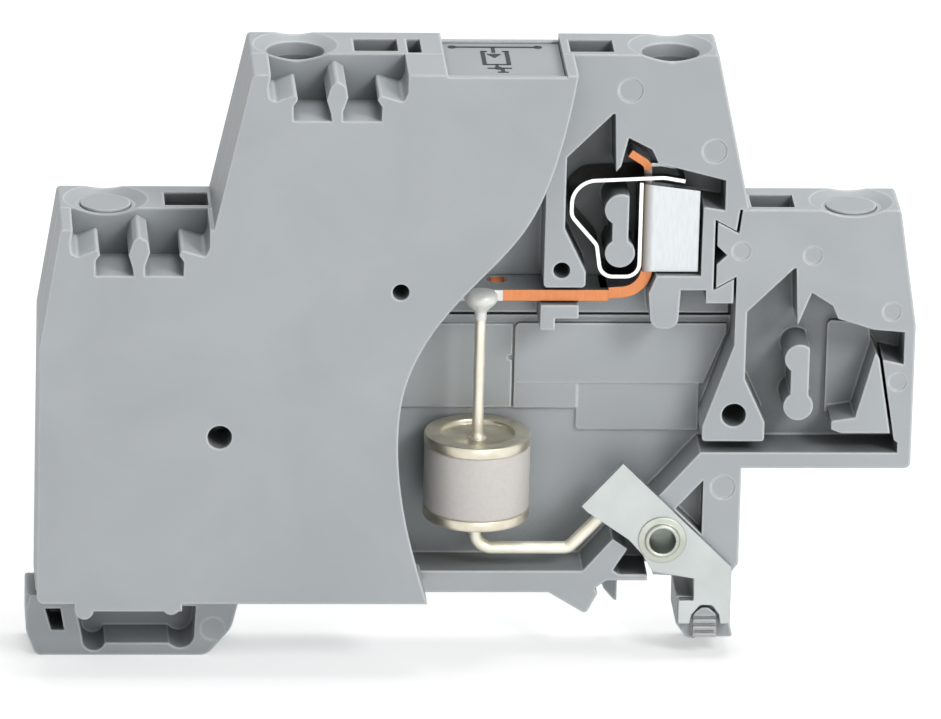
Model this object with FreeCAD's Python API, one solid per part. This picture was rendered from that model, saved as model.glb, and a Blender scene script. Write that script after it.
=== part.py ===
import FreeCAD, Part
import math
import os

# Double-deck terminal block with a surge arrester, shown as a cut-away.
# Frame: X along the block, Y through its thickness, Z up. X = 0 is the middle of the mounting rail,
# Z = 0 the top face of the rail's flanges, and Y = 0 the parting plane of the two housing halves.
# Sizes are in millimetres.

# Housing outline
half_depth = 5.0            # rear half and front cover are each this deep
mid_x = 1.15                # the left and right clamp cells mirror about this plane
step_half_length = 19.75    # middle plane to the foot of the upper deck
top_inset = 2.6             # how far the ends of the upper deck lean in
lower_deck_length = 12.6    # foot of the upper deck to the end wall
shoulder_inset = 1.4        # how far the end walls lean in at the lower deck
shoulder_drop = 8.96        # lower deck down to where the end walls start to lean
tail_z = 8.9                # underside of the right end of the lower deck
tail_floor = 1.22
lower_deck_height = 20.19   # that underside to the lower deck
deck_step = 11.93           # lower deck to the upper deck
corner_radius = 0.5
wall = 1.0                  # rear wall and front wall
split_gap = 0.2             # gap between the upper deck and the lower housing
wall_lap = 2.12             # how far the upper deck's rear wall reaches below the bar

# Mounting rail that the block fits
rail_half_width = 17.5
rail_flange = 1.0
rail_flange_width = 5.0
rail_end_gap = 0.15
floor_top = 0.74
floor_dip = 0.95            # how far the floor reaches down between the rail's flanges

# Leg on the right of the rail
leg_reach = 3.46            # rail's edge to the outer side of the leg
leg_narrow = 0.5
leg_foot_z = -4.45
leg_hook_reach = 1.05       # how far the leg hooks under the rail
ledge_from_leg = 6.34       # outer side of the leg back to the ledge on the rail

# Dovetail between the decks
tongue_from_step = 0.78     # foot of the upper deck back to the root of the tongue
tongue_length = 1.5
tongue_root_height = 3.55
tongue_tip_height = 5.09
tongue_mid_below = 3.53     # lower deck to the middle of the tongue
column_width = 0.86
column_foot_half = 2.3
column_foot_gap = 0.9       # free foot of the column above the cell's floor
column_middle = 0.13        # root of the tongue to the middle of the foot
column_hole_radius = 0.9
column_hole_above = 2.04    # foot of the column to its hole
hole_end_wall = 0.5         # wall left at the rear end of the pin holes

# Clamp cells
peg_lobe = 1.1
entry_radius = 1.9
entry_y = 2.2               # middle of the conductor entries, behind the parting plane
entry_from_step = 6.0
lower_entry_from_end = 4.9
entry_depth = 6.3           # upper deck to the end of the round part of the entries
lower_entry_depth = 8.5
throat_half = 2.05          # room below the round part, beside the bar
throat_depth = 9.54
funnel_depth = 1.4          # upper deck to the round part of its entries
dish_radius = 3.1           # shallow dish round each entry
dish_foot_radius = 2.15
dish_depth = 0.5
slot_length = 3.2           # operating slots
slot_width = 2.9
slot_y = 2.1
small_slot_length = 1.0
small_slot_from_mid = 5.1
slot_depth = 6.0
upper_slot_from_step = 11.85
lower_slot_from_step = 1.8
pillar_from_step = 15.0     # foot of the upper deck to the near side of the upper pillars
pillar_width = 1.45
pillar_hole_radius = 0.62
pillar_hole_inset = 1.3     # near side of the pillar to its hole
pillar_hole_below = 4.75    # lower deck to the hole
sleeve_wall = 0.6           # sleeves behind the two holes of the front cover
sleeve_gap = 1.0            # parting plane back to the end of those sleeves
mark_depth = 0.08
mark_radius = 0.68
mark_radius_large = 0.9

# Current bar
bar_thickness = 0.85
bar_front = 0.45
bar_width = 3.35
bar_below_deck = 6.85       # lower deck to the middle of the bar
bar_leg_from_step = 7.35
bar_tip_below = 7.31        # upper deck to the tip of the bar
bar_bend = 1.9
bar_bend_reach = 2.8
bar_tip_reach = 1.2
bar_tip_drop = 1.17
bar_tongue_width = 2.0
bar_set_back = 0.3          # front edge of the bar's ends behind that of its flaps
flap_length = 3.3
flap_top_below = 10.12      # upper deck to the top of the flap
flap_foot_below = 4.98      # lower deck to the foot of the flap
flap_thickness = 0.8

# Clamp springs
spring_thickness = 0.35
spring_width = 3.4
spring_front = 0.3
spring_gap = 0.02
spring_top_below = 9.58     # upper deck to the top of the spring
spring_foot_below = 5.32    # lower deck to its foot
spring_length = 5.72        # bar back to the near side of the spring

# Surge arrester
arrester_x = 1.31
arrester_radius = 3.95
arrester_low = 5.19
arrester_height = 6.57
cap_height = 0.83
cap_recess_radius = 2.7
cap_recess = 0.48
upper_lead_radius = 0.42
lower_lead_radius = 0.475
lower_lead_z = 2.44
solder_radius = 1.25
solder_low = 1.7            # middle of the bar down to the foot of the solder

# Contact foot and its rivet
plate_thickness = 0.8
plate_top_from_ledge = 2.51
plate_top_z = 9.5
plate_left_from_ledge = 5.5
plate_left_z = 6.15
plate_foot_above = 1.33     # foot of the leg to the foot of the plate
rivet_from_leg = 5.79
rivet_z = 3.53
rivet_head_radius = 1.8
rivet_flange = 0.15
rivet_rim_radius = 1.3
rivet_rim = 0.3
rivet_shank_radius = 1.15
rivet_bore_radius = 0.95
rivet_rear_radius = 1.75
rivet_rear_sink = 0.9

# Latch foot
foot_overhang = 0.65        # how far the foot stands out of the left end wall
foot_hook_reach = 1.5       # how far it hooks under the rail
foot_bottom = -5.99
foot_side_gap = 0.15
foot_top_gap = 0.2
foot_travel = 1.2
foot_head_height = 1.5
foot_head_length = 6.4
foot_neck_length = 4.2
foot_head_room = 0.95       # room behind the head when the latch is open
latch_wall = 1.1            # walls of the latch chamber
latch_floor = 0.3           # floor of the latch chamber
left_bottom = -1.06         # underside of the housing beside the rail

# Label plate
label_length = 8.5
label_from_mid = 1.35
label_top_below = 0.64
label_thickness = 0.85
label_gap = 0.1
label_lip = 0.45            # walls left in front of the plate and behind it
label_front_lip_below = 0.16
label_rear_lip_below = 0.48

# Entry plugs
plug_gap = 0.05
plug_height = 2.6
plug_sink = 0.3             # deck down to the top of the plugs

# Values worked out from the sizes above
inner_y = half_depth - wall
step_x = mid_x + step_half_length
right_x = step_x + lower_deck_length
left_x = 2 * mid_x - right_x
top_x = step_x - top_inset
lower_deck_z = tail_z + lower_deck_height
upper_deck_z = lower_deck_z + deck_step
shoulder_z = lower_deck_z - shoulder_drop
rail_channel_half = rail_half_width - rail_flange_width
leg_right = rail_half_width + leg_reach
leg_hook_x = rail_half_width - leg_hook_reach
ledge_x = leg_right - ledge_from_leg
rivet_x = leg_right - rivet_from_leg
tongue_root_x = step_x - tongue_from_step
bar_z = lower_deck_z - bar_below_deck
bar_under = bar_z - bar_thickness / 2
bar_over = bar_z + bar_thickness / 2
split_z = bar_under
wall_split_z = bar_under - wall_lap
cell_floor = tail_z + tail_floor
column_foot_z = cell_floor + column_foot_gap
column_hole_x = tongue_root_x + column_middle
column_hole_z = column_foot_z + column_hole_above
entry_x = step_x - entry_from_step
lower_entry_x = right_x - lower_entry_from_end
pillar_x = step_x - pillar_from_step
bar_leg_x = step_x - bar_leg_from_step
arrester_top = arrester_low + arrester_height
bay_left = -rail_channel_half - 0.7
foot_left = left_x - foot_overhang
foot_hook_x = -rail_half_width + foot_hook_reach
foot_head_left = left_x + latch_wall + foot_travel + foot_head_room


def corner_arc(before, corner, after, radius):
    # Start, middle and end of the arc that rounds a corner, in X and Z.
    to_before = before.sub(corner).normalize()
    to_after = after.sub(corner).normalize()
    half = math.acos(max(-1.0, min(1.0, to_before.dot(to_after)))) / 2
    reach = radius / math.tan(half)
    middle = to_before.add(to_after).normalize()
    centre = corner.add(middle.multiply(radius / math.sin(half)))
    start = corner.add(to_before.multiply(reach))
    end = corner.add(to_after.multiply(reach))
    inward = corner.sub(centre).normalize().multiply(radius)
    return start, centre.add(inward), end


def closed_wire(corners, depth):
    # A closed outline at one depth. A corner is (x, z), or (x, z, radius) where it is round.
    places = [FreeCAD.Vector(corner[0], depth, corner[1]) for corner in corners]
    pieces = []
    for number, corner in enumerate(corners):
        here = places[number]
        if len(corner) == 3:
            before = places[number - 1]
            after = places[(number + 1) % len(places)]
            pieces.append(corner_arc(before, here, after, corner[2]))
        else:
            pieces.append((here, None, here))
    edges = []
    for number, (start, middle, end) in enumerate(pieces):
        if middle is not None:
            edges.append(Part.Arc(start, middle, end).toShape())
        following = pieces[(number + 1) % len(pieces)][0]
        if end.distanceToPoint(following) > 1e-6:
            edges.append(Part.LineSegment(end, following).toShape())
    return Part.Wire(edges)


def prism(corners, front, back):
    face = Part.Face(closed_wire(corners, front))
    return face.extrude(FreeCAD.Vector(0, back - front, 0))


def block(x_low, x_high, front, back, z_low, z_high):
    corner = FreeCAD.Vector(x_low, front, z_low)
    return Part.makeBox(x_high - x_low, back - front, z_high - z_low, corner)


def pin_y(x, z, radius, front, back):
    base = FreeCAD.Vector(x, front, z)
    return Part.makeCylinder(radius, back - front, base, FreeCAD.Vector(0, 1, 0))


def pin_z(x, y, radius, low, high):
    return Part.makeCylinder(radius, high - low, FreeCAD.Vector(x, y, low))


def strip(path, thickness, front, back):
    # Sheet metal of one thickness that follows a path of corners (x, z, bend radius).
    places = [FreeCAD.Vector(corner[0], 0, corner[1]) for corner in path]
    sides = ([], [])
    for number, corner in enumerate(path):
        here = places[number]
        ahead = places[number + 1].sub(here).normalize() if number + 1 < len(path) else None
        behind = here.sub(places[number - 1]).normalize() if number > 0 else None
        first = behind or ahead
        second = ahead or behind
        normal_one = FreeCAD.Vector(-first.z, 0, first.x)
        normal_two = FreeCAD.Vector(-second.z, 0, second.x)
        mitre = normal_one.add(normal_two).normalize()
        reach = thickness / 2 / mitre.dot(normal_one)
        turn = first.x * second.z - first.z * second.x
        for side, sign in zip(sides, (1, -1)):
            place = here.add(FreeCAD.Vector(mitre).multiply(sign * reach))
            if behind and ahead and abs(turn) > 1e-9:
                radius = corner[2] - math.copysign(thickness / 2, turn) * sign
                side.append((place.x, place.z, radius))
            else:
                side.append((place.x, place.z))
    return prism(sides[0] + sides[1][::-1], front, back)


def turned(outline, x, z):
    # An outline of (radius, depth) turned about an axis along Y.
    places = [FreeCAD.Vector(x + radius, depth, z) for radius, depth in outline]
    face = Part.Face(Part.makePolygon(places + places[:1]))
    return face.revolve(FreeCAD.Vector(x, 0, z), FreeCAD.Vector(0, 1, 0), 360)


def flipped(corners):
    # The same outline on the other side of the middle plane, in the opposite order.
    return [(2 * mid_x - corner[0],) + tuple(corner[1:]) for corner in reversed(corners)]


def flipped_shape(shape):
    return shape.mirror(FreeCAD.Vector(mid_x, 0, 0), FreeCAD.Vector(1, 0, 0))


def both_sides(shape):
    return [shape, flipped_shape(shape)]


def joined(shapes):
    return shapes[0].multiFuse(shapes[1:]).removeSplitter()


def tongue_chain():
    # Right dovetail tongue of the lower housing, from the deck down to the column.
    middle = lower_deck_z - tongue_mid_below
    tip_x = tongue_root_x - tongue_length
    root_half = tongue_root_height / 2 - split_gap / 2
    tip_half = tongue_tip_height / 2
    notch_half = 0.72
    notch_depth = 0.74
    return [
        (tongue_root_x + 0.3, lower_deck_z),
        (tongue_root_x + 0.08, middle + root_half),
        (tip_x, middle + tip_half),
        (tip_x, middle + notch_half),
        (tip_x + notch_depth, middle),
        (tip_x, middle - notch_half),
        (tip_x, middle - tip_half),
        (tongue_root_x, middle - root_half),
    ]


def groove_chain(foot_z):
    # Jaw of the upper deck round that tongue, from the deck's step down to its foot.
    middle = lower_deck_z - tongue_mid_below
    tip_x = tongue_root_x - tongue_length - split_gap
    root_half = tongue_root_height / 2 + split_gap / 2
    tip_half = tongue_tip_height / 2 + split_gap
    return [
        (tongue_root_x + 0.3 - split_gap, lower_deck_z),
        (tongue_root_x + 0.08 - split_gap, middle + root_half),
        (tip_x, middle + tip_half),
        (tip_x, middle - tip_half),
        (tongue_root_x - split_gap, middle - root_half),
        (tongue_root_x - split_gap, foot_z),
    ]


def column_chain():
    # Column of a lower cell: down its inner side, round its free foot and up its outer side.
    column_right = tongue_root_x + column_width
    foot_left_x = column_hole_x - column_foot_half
    foot_right_x = column_hole_x + column_foot_half
    return [
        (tongue_root_x, column_foot_z + 7.53),
        (foot_left_x, column_foot_z + 1.17),
        (foot_left_x, column_foot_z, 0.25),
        (foot_right_x, column_foot_z, 0.25),
        (foot_right_x, column_foot_z + 1.48),
        (column_right, column_foot_z + 4.88),
        (column_right, lower_deck_z - 7.95),
    ]


def cell_roof_chain():
    # Roof of a lower cell with its hanging spike, then down the end wall to the floor.
    inner_wall = right_x - 0.79
    return [
        (step_x + 3.46, lower_deck_z - 4.54),
        (step_x + 3.63, lower_deck_z - 4.54),
        (step_x + 3.85, lower_deck_z - 9.01),
        (step_x + 4.83, lower_deck_z - 6.43),
        (step_x + 6.4, lower_deck_z - 7.44),
        (step_x + 6.84, lower_deck_z - 8.46),
        (inner_wall - 2.33, lower_deck_z - 9.3),
        (inner_wall, lower_deck_z - 9.5),
        (inner_wall, lower_deck_z - 12.03),
        (inner_wall - 1.56, lower_deck_z - 11.66),
        (inner_wall - 0.51, cell_floor + 1.01),
        (inner_wall - 0.23, cell_floor + 0.8),
        (inner_wall - 0.23, cell_floor),
    ]


def tower_chain():
    # One end of the lower housing, from its end wall over the deck and round its open cell.
    deck = [(right_x, shoulder_z), (right_x - shoulder_inset, lower_deck_z, 0.3)]
    inside = column_chain() + cell_roof_chain()
    return deck + tongue_chain() + inside + [(leg_right - 3.1, cell_floor)]


def leg_chain():
    # Leg that reaches down beside the rail, from its inner ledge round to the tail.
    hook_top = -rail_flange - rail_end_gap - 0.1
    inner_leg = rail_half_width + rail_end_gap + 0.05
    return [
        (ledge_x + 0.62, tail_z - 1.81),
        (ledge_x - 2.02, 4.24),
        (ledge_x - 1.42, 2.92),
        (ledge_x, 1.27),
        (ledge_x, 0.48),
        (inner_leg, 0.32),
        (inner_leg, hook_top),
        (leg_hook_x, hook_top),
        (leg_hook_x, leg_foot_z + 1.06),
        (leg_hook_x + 0.75, leg_foot_z, 0.3),
        (leg_hook_x + 1.4, leg_foot_z - 0.16, 0.2),
        (leg_hook_x + 1.65, leg_foot_z + 0.11),
        (leg_hook_x + 2.75, leg_foot_z + 0.11),
        (leg_hook_x + 3.05, leg_foot_z, 0.2),
        (leg_right - 0.25, leg_foot_z, 0.2),
        (leg_right - leg_narrow, leg_foot_z + 1.06),
        (leg_right - leg_narrow, 0.68),
        (leg_right, 1.38),
        (leg_right, tail_z),
        (right_x, tail_z, corner_radius),
    ]


def floor_chain():
    # Floor between the rail's flanges: down the left wall, along, the sprung arm, and back underneath.
    dip_x = rail_channel_half - 0.6
    return [
        (bay_left, cell_floor - 2.54),
        (bay_left, floor_top),
        (ledge_x - 5.23, floor_top),
        (ledge_x - 3.06, floor_top + 2.54),
        (ledge_x - 1.95, floor_top + 1.75),
        (ledge_x - 2.99, floor_top + 0.05),
        (ledge_x - 2.52, floor_top - 0.27),
        (ledge_x - 0.42, floor_top - 0.27),
        (ledge_x - 0.42, 0.0),
        (ledge_x - 3.42, 0.0),
        (ledge_x - 4.32, -floor_dip + 0.32),
        (ledge_x - 4.08, -floor_dip - 0.11),
        (ledge_x - 4.92, -floor_dip - 1.7, 0.3),
        (ledge_x - 7.72, -floor_dip),
        (-dip_x, -floor_dip),
        (-dip_x - 0.3, 0.0),
        (-rail_half_width - 0.6, 0.0),
        (-rail_half_width - 0.6, left_bottom),
        (left_x, left_bottom, corner_radius),
    ]


def rear_wall_outline():
    # The lower housing's rear wall: both towers, the leg and the floor in one sheet.
    right_top = [(right_x, shoulder_z), (right_x - shoulder_inset, lower_deck_z, 0.3)]
    right_top = right_top + tongue_chain() + [(tongue_root_x, wall_split_z - split_gap)]
    leg = leg_chain()[3:]
    bottom = floor_chain()[-5:]
    nose = [
        (rail_channel_half - 1.6, -floor_dip),
        (rail_channel_half - 1.2, -floor_dip - 1.17),
        (rail_channel_half - 0.4, -floor_dip - 2.12, 0.3),
        (rail_channel_half - 0.2, -floor_dip - 2.12),
        (rail_channel_half - 0.2, 0.0),
        (ledge_x, 0.0),
    ]
    left_top = flipped(right_top)
    return right_top + left_top + bottom[::-1] + nose + leg[1:]


def cell_wedge():
    # Loose-ended wedge that stands on the rear wall of a lower cell.
    base = cell_floor + 1.54
    outline = [
        (right_x - 2.89, base + 6.36),
        (right_x - 4.24, base + 1.22),
        (right_x - 5.98, base + 0.95),
        (right_x - 5.98, base + 0.29),
        (right_x - 5.24, base),
        (right_x - 1.62, base),
        (right_x - 2.6, base + 5.83),
    ]
    return prism(outline, 0, inner_y)


def twin_peg(x, z_upper, z_lower, flat_x, top_radius, low_radius):
    # Two-lobed post that a clamp spring hangs on.
    upper = pin_y(x, z_upper, top_radius, 0, inner_y)
    beyond_flat = block(flat_x, flat_x + 2, -1, inner_y, z_upper - 2, z_upper + 2)
    upper = upper.cut(beyond_flat)
    neck = block(x - 0.6, flat_x, 0, inner_y, z_lower, z_upper)
    lower = pin_y(x, z_lower, low_radius, 0, inner_y)
    return joined([upper, neck, lower])


def front_mark(x, z, radius):
    # Shallow round mark in the parting face.
    return pin_y(x, z, radius, 0, mark_depth)


def cone_z(x, low_radius, high_radius, low, high):
    # Cone on the middle of a conductor entry.
    return Part.makeCone(low_radius, high_radius, high - low, FreeCAD.Vector(x, entry_y, low))


def entry_cut(x, deck_z, depth):
    # Shallow dish and round part of a conductor entry.
    hole = pin_z(x, entry_y, entry_radius, deck_z - depth, deck_z + 1)
    dish = cone_z(x, dish_foot_radius, dish_radius, deck_z - dish_depth, deck_z)
    rim = pin_z(x, entry_y, dish_radius, deck_z, deck_z + 1)
    return joined([hole, dish, rim])


def entry_funnel(x, deck_z):
    return cone_z(x, entry_radius, dish_foot_radius, deck_z - funnel_depth, deck_z - dish_depth)


def slot_cut(x, deck_z):
    half = slot_length / 2
    front = slot_y - slot_width / 2
    return block(x - half, x + half, front, front + slot_width, deck_z - slot_depth, deck_z + 1)


def lower_housing():
    right = prism(tower_chain() + leg_chain(), 0, inner_y)
    left_tower = flipped(tower_chain())[::-1]
    left = prism(left_tower + floor_chain(), 0, inner_y)
    rear = prism(rear_wall_outline(), inner_y, half_depth)
    wedge = cell_wedge()
    peg = twin_peg(step_x + 4.1, lower_deck_z - 11.62, lower_deck_z - 15.32, step_x + 4.83,
                   peg_lobe, peg_lobe)
    cell_panel = prism([(step_x + 6.4, lower_deck_z - 9.75, 0.4), (step_x + 6.4, cell_floor + 2.01),
                        (right_x - 3.9, cell_floor + 2.01), (right_x - 2.9, cell_floor + 7.42),
                        (right_x - 3.1, lower_deck_z - 10.07)], inner_y - 0.5, inner_y)
    added = [right, left, rear] + chamber_panels() + foot_ribs()
    for shape in (wedge, peg, cell_panel):
        added = added + both_sides(shape)
    body = joined(added)

    cuts = []
    cuts = cuts + both_sides(pin_y(column_hole_x, column_hole_z, column_hole_radius,
                                   0, half_depth - hole_end_wall))
    cuts = cuts + both_sides(entry_cut(lower_entry_x, lower_deck_z, lower_entry_depth))
    cuts = cuts + both_sides(slot_cut(step_x + lower_slot_from_step, lower_deck_z))
    cuts.append(prism([(leg_right - 2.8, 7.93), (leg_right - 2.8, 3.66), (leg_right - 4.81, 5.68)],
                      0, 1.5))
    for x, z in ((right_x - 1.8, lower_deck_z - 7.9), (tongue_root_x + 0.28, lower_deck_z - 3.23),
                 (step_x + 4.8, lower_deck_z - 3.55), (right_x - 1.2, lower_deck_z - 13.41)):
        cuts.append(front_mark(x, z, mark_radius))
    cuts.append(front_mark(leg_right - 1.33, tail_z - 1.52, mark_radius_large))
    cuts.append(rivet_hole())
    cuts.append(latch_chamber())
    return body.cut(Part.makeCompound(cuts)).removeSplitter()


def chamber_panels():
    # Raised panels on the rear wall of the arrester's chamber.
    panel_top = wall_split_z - split_gap - 0.64
    panel_foot = arrester_top + 0.53
    middle_foot = arrester_top - 1.21
    split = arrester_top + 2.5
    notch = panel_top - 2.85
    seam_x = arrester_x + 2.78
    left = [
        (seam_x - 10.0, panel_top),
        (seam_x - 10.0, panel_foot),
        (seam_x - 0.08, panel_foot),
        (seam_x - 0.08, notch),
        (seam_x - 0.4, notch + 0.1),
        (seam_x - 0.4, notch + 0.31),
        (seam_x - 0.08, notch + 0.42),
        (seam_x - 0.08, panel_top),
    ]
    upper = [
        (seam_x + 0.08, panel_top + 0.11, 0.4),
        (seam_x + 0.08, split),
        (tongue_root_x - 1.9, split),
        (tongue_root_x - 0.3, panel_top - 0.63),
        (tongue_root_x - 0.3, panel_top + 0.11),
    ]
    middle = [
        (seam_x + 4.75, split + 0.05),
        (seam_x + 4.75, middle_foot, 0.3),
        (tongue_root_x - 2.2, middle_foot),
        (tongue_root_x - 2.2, split + 0.05),
    ]
    return [
        prism(left, inner_y - 0.2, inner_y),
        prism(upper, inner_y - 0.38, inner_y),
        prism(middle, inner_y - 0.22, inner_y),
        block(seam_x + 0.08, seam_x + 4.8, inner_y - 0.3, inner_y, panel_foot, split + 0.05),
    ]


def foot_ribs():
    # Ribbed grip that fills the notch of the contact foot.
    left = leg_hook_x + 1.25
    right = leg_hook_x + 2.95
    low = leg_foot_z + 0.16
    outline = [
        (left, low),
        (left, low + 1.85, 0.5),
        (left + 0.6, low + 2.33, 0.4),
        (right - 0.6, low + 2.33, 0.4),
        (right, low + 1.85, 0.5),
        (right, low),
    ]
    grooves = []
    for rise in (0.3, 0.85, 1.4):
        grooves.append(block(left - 1, right + 1, -1, -0.3, low + rise, low + rise + 0.27))
    return [prism(outline, -0.55, 0).cut(Part.makeCompound(grooves))]


def rivet_hole():
    through = pin_y(rivet_x, rivet_z, rivet_shank_radius + 0.02, -1, half_depth)
    sink = pin_y(rivet_x, rivet_z, rivet_rear_radius + 0.1, half_depth - rivet_rear_sink, half_depth)
    return joined([through, sink])


def latch_chamber():
    # Hidden room above the latch foot, with the slot that the foot's neck slides in.
    low = latch_floor
    high = tail_z
    room_left = left_x + latch_wall
    room_right = bay_left - latch_wall
    room = prism([(room_left, low), (room_left, high), (room_right - 1.2, high),
                  (room_right, high - 1.48), (room_right, low)], 0, inner_y)
    neck_left, neck_right = foot_neck_sides()
    slot = block(neck_left - foot_side_gap - foot_travel, neck_right + foot_side_gap, 0, inner_y,
                 left_bottom - 1.06, low + 0.11)
    return joined([room, slot])


def foot_neck_sides():
    neck_left = foot_head_left + (foot_head_length - foot_neck_length) / 2
    return neck_left, neck_left + foot_neck_length


def upper_deck():
    z = upper_deck_z
    pillar_right = pillar_x + pillar_width
    roof = z - 7.95
    cell_foot = lower_deck_z - 5.17
    top_end = [(top_x, z, 0.3), (step_x, lower_deck_z)]
    right = top_end + groove_chain(split_z) + [
        (tongue_root_x - 2.22, split_z),
        (tongue_root_x - 2.22, bar_over + 0.16),
        (tongue_root_x - 4.1, bar_over + 0.16),
        (tongue_root_x - 4.25, bar_under - 2.01, 0.85),
        (tongue_root_x - 6.22, bar_under - 2.01, 0.85),
        (tongue_root_x - 6.45, bar_over - 0.11),
        (tongue_root_x - 5.92, cell_foot),
        (step_x - 3.42, cell_foot),
        (step_x - 3.38, lower_deck_z + 0.2),
        (step_x - 1.79, lower_deck_z - 0.06),
        (step_x - 1.79, z - 9.67),
        (step_x - 6.8, z - 8.37),
        (step_x - 7.3, z - 7.31),
        (step_x - 9.05, z - 6.4),
        (step_x - 9.55, z - 8.59),
        (step_x - 9.9, z - 9.01),
        (step_x - 10.07, z - 4.56),
        (step_x - 10.23, z - 4.56),
        (pillar_right, roof),
        (pillar_right, lower_deck_z - 1.54),
        (pillar_right + 1.63, cell_foot + 0.29),
        (pillar_right + 1.63, bar_over + 0.35, 0.3),
        (pillar_x, bar_over + 0.35, 0.3),
        (pillar_x, roof),
    ]
    front = prism(right + flipped(right), 0, inner_y)
    sheet = top_end + groove_chain(wall_split_z)
    rear = prism(sheet + flipped(sheet), inner_y, half_depth)
    peg = twin_peg(step_x - 9.45, z - 11.98, lower_deck_z - 3.4, step_x - 8.87,
                   peg_lobe + 0.1, peg_lobe)
    lug = prism([(pillar_x - 0.17, bar_under - 0.19), (pillar_x + 2.64, bar_under - 0.19),
                 (pillar_x + 2.64, bar_under - 1.22), (pillar_x + 0.91, bar_under - 1.22),
                 (pillar_x + 0.91, wall_split_z), (pillar_x - 0.17, wall_split_z)],
                0, inner_y)
    body = joined([front, rear] + both_sides(peg) + both_sides(lug))

    cuts = []
    cuts = cuts + both_sides(pin_y(pillar_x + pillar_hole_inset, lower_deck_z - pillar_hole_below,
                                   pillar_hole_radius, 0, half_depth - hole_end_wall))
    cuts = cuts + both_sides(joined([entry_cut(entry_x, z, entry_depth), entry_funnel(entry_x, z)]))
    cuts = cuts + both_sides(block(entry_x - throat_half, entry_x + throat_half, 0.4, inner_y,
                                   z - throat_depth, z - entry_depth))
    cuts = cuts + both_sides(slot_cut(step_x - upper_slot_from_step, z))
    small_left = mid_x - small_slot_from_mid - small_slot_length / 2
    cuts.append(block(small_left, small_left + small_slot_length, 0.3, slot_y + slot_width / 2,
                      z - slot_depth, z + 1.06))
    cuts.append(label_seat())
    for x, below in ((step_x - 9.0, 2.76), (step_x - 2.7, 7.42)):
        cuts.append(front_mark(x, z - below, mark_radius_large))
    return body.cut(Part.makeCompound(cuts)).removeSplitter()


def label_seat():
    middle = mid_x + label_from_mid
    half = label_length / 2 + label_gap
    seat = upper_deck_z - label_top_below - label_thickness
    lip = half_depth - label_lip
    pocket = block(middle - half, middle + half, -lip, lip, seat, upper_deck_z + 1)
    front = block(middle - half, middle + half, -half_depth - 1, 0, upper_deck_z - label_front_lip_below,
                  upper_deck_z + 1)
    rear = block(middle - half, middle + half, 0, half_depth + 1, upper_deck_z - label_rear_lip_below,
                 upper_deck_z + 1)
    return joined([pocket, front, rear])


def label_plate():
    middle = mid_x + label_from_mid
    half = label_length / 2
    top = upper_deck_z - label_top_below
    reach = half_depth - label_lip - label_gap
    plate = block(middle - half, middle + half, -reach, reach, top - label_thickness, top)
    upper_edges = [edge for edge in plate.Edges if edge.CenterOfMass.z > top - 0.01]
    return plate.makeChamfer(0.15, upper_edges)


def marker_groove(x, deck_z):
    # Pocket for clip-in marker tags: two bays, a split post and a hook at each side.
    offsets = [
        (0.0, 1.06), (0.0, -0.16), (-0.15, -1.01), (-0.05, -1.85), (0.4, -2.07, 0.2),
        (1.9, -1.48, 0.2), (2.0, -1.96), (1.7, -2.39), (1.7, -3.55), (4.5, -3.55),
        (4.4, -2.92), (4.1, -1.96), (4.4, -0.9), (4.8, -0.48, 0.25), (5.5, -0.9, 0.2),
        (5.65, -1.75), (5.3, -2.81), (5.3, -3.55), (8.1, -3.55), (8.15, -2.49),
        (7.8, -1.96), (7.9, -1.54, 0.2), (9.7, -2.07, 0.2), (10.0, -1.38), (10.0, 1.06),
    ]
    return prism([(x + corner[0], deck_z + corner[1]) + tuple(corner[2:]) for corner in offsets],
                 -half_depth - 1, 0)


def cutaway():
    # Everything to the right of the S-shaped cut through the front cover.
    height = upper_deck_z + 0.6
    curve_points = [(7.75, 1.0), (6.2, 0.819), (4.0, 0.697), (1.0, 0.611), (-2.55, 0.506),
                    (-4.5, 0.397), (-4.86, 0.31), (-4.06, 0.142), (-2.1, -0.025)]
    places = [FreeCAD.Vector(x, -half_depth - 1, share * height) for x, share in curve_points]
    curve = Part.BSplineCurve()
    curve.interpolate(places)
    far = right_x + 5
    lower_right = FreeCAD.Vector(far, -half_depth - 1, -10)
    upper_right = FreeCAD.Vector(far, -half_depth - 1, height)
    lower_left = FreeCAD.Vector(places[-1].x, -half_depth - 1, -10)
    edges = [
        curve.toShape(),
        Part.LineSegment(places[-1], lower_left).toShape(),
        Part.LineSegment(lower_left, lower_right).toShape(),
        Part.LineSegment(lower_right, upper_right).toShape(),
        Part.LineSegment(upper_right, places[0]).toShape(),
    ]
    return Part.Face(Part.Wire(edges)).extrude(FreeCAD.Vector(0, half_depth + 1, 0))


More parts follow.
